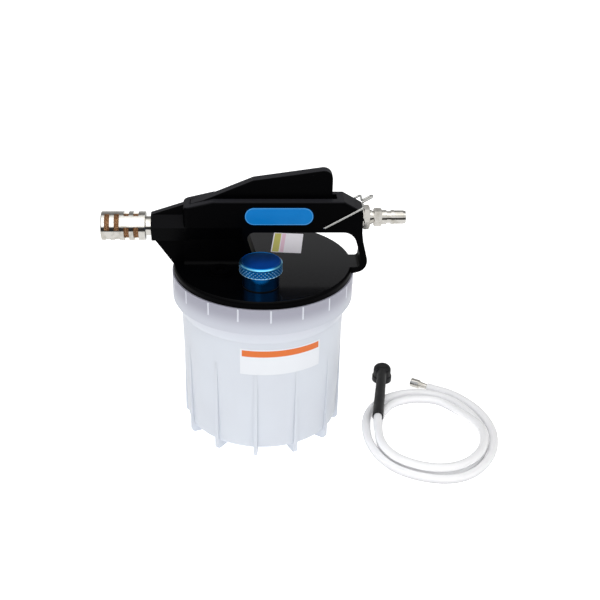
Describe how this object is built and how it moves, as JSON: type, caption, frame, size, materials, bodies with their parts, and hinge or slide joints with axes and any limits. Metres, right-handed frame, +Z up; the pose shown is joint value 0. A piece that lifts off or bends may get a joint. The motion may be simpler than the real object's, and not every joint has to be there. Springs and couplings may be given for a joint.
{
  "type": "hand vacuum pump",
  "caption": "Vacuum fluid bleeder: clear tank, lid with ejector, muffler, lever valve and hand hole, air plug, pouring cap, and a coiled hose beside it.",
  "frame": {"origin": "middle of the tank's base, on the floor that its foot fins stand on", "axes": "+Z up the tank, +X along the handle towards the air plug, -Y towards the side with the pouring cap"},
  "size_m": [0.363, 0.199, 0.2519],
  "materials": {
    "milky_polypropylene": "satin, translucent",
    "black_nylon": "semi-gloss moulded",
    "black_rubber": "matt",
    "milky_hose": "smooth soft PVC",
    "nickel": "bright nickel plate",
    "sintered_bronze": "porous sintered",
    "spring_steel": "bright drawn wire",
    "brass": "turned",
    "white_plastic": "matt moulded",
    "blue_anodised": "blue anodised, knurled"
  },
  "bodies": {
    "tank_set": {"tank": "milky_polypropylene", "tank_collar": "milky_polypropylene", "tank_feet": "milky_polypropylene", "lid_gasket": "black_rubber", "hose_coil": "milky_hose", "hose_end_adapter": "milky_hose", "bleed_adapter": "black_rubber", "hose_end_fitting": "milky_hose", "hose_fitting": "nickel"},
    "head": {"lid_handle": "black_nylon", "lever_pivot_pin": "spring_steel", "valve_gland": "brass", "stem_o_ring": "black_rubber", "valve_seat": "brass", "valve_spring": "spring_steel", "bushing_washer": "nickel", "inlet_bushing": "nickel", "inlet_plug": "nickel", "ejector_nozzle": "brass", "nozzle_o_ring": "black_rubber", "mixing_tube": "brass", "muffler_nipple": "nickel", "muffler_shell": "nickel", "muffler_core": "sintered_bronze", "suction_seat": "black_rubber", "float_cage": "white_plastic", "pour_neck_seal": "black_rubber", "pour_neck": "blue_anodised", "pour_neck_nut": "black_nylon", "port_insert": "black_nylon", "port_o_ring": "black_rubber", "drop_tube": "milky_hose"},
    "lever": {"lever": "black_nylon"},
    "bail": {"lock_bail": "spring_steel"},
    "stem": {"valve_stem": "brass", "poppet_washer": "black_rubber"},
    "cap": {"pour_cap": "blue_anodised", "cap_seal": "black_rubber"},
    "float": {"float_ball": "white_plastic"}
  },
  "joints": [
    {"name": "lid_lift", "type": "slide", "parent": "tank_set", "child": "head", "axis": [0, 0, 1], "range_m": [0, 0.12]},
    {"name": "lever_press", "type": "hinge", "parent": "head", "child": "lever", "pos_m": [-0.056, 0, 0.214], "axis": [0, 1, 0], "range_deg": [0, 8.5], "stiffness_Nm_per_rad": 1.5, "springref_deg": -5.73},
    {"name": "bail_swing", "type": "hinge", "parent": "head", "child": "bail", "pos_m": [0.0525, 0, 0.2017], "axis": [0, -1, 0], "range_deg": [0, 57.8]},
    {"name": "valve_push", "type": "slide", "parent": "head", "child": "stem", "axis": [0, 0, -1], "range_m": [0, 0.00385], "deforming": ["valve_spring"]},
    {"name": "cap_lift", "type": "slide", "parent": "head", "child": "cap", "axis": [0, 0, 1], "range_m": [0, 0.03]},
    {"name": "float_rise", "type": "slide", "parent": "head", "child": "float", "axis": [0, 0, 1], "range_m": [0, 0.0145]}
  ],
  "couplings": [
    {"joint": "bail_swing", "follows": "lever_press", "ratio": 6.8},
    {"joint": "valve_push", "follows": "lever_press", "m_per_rad": 0.025749}
  ]
}
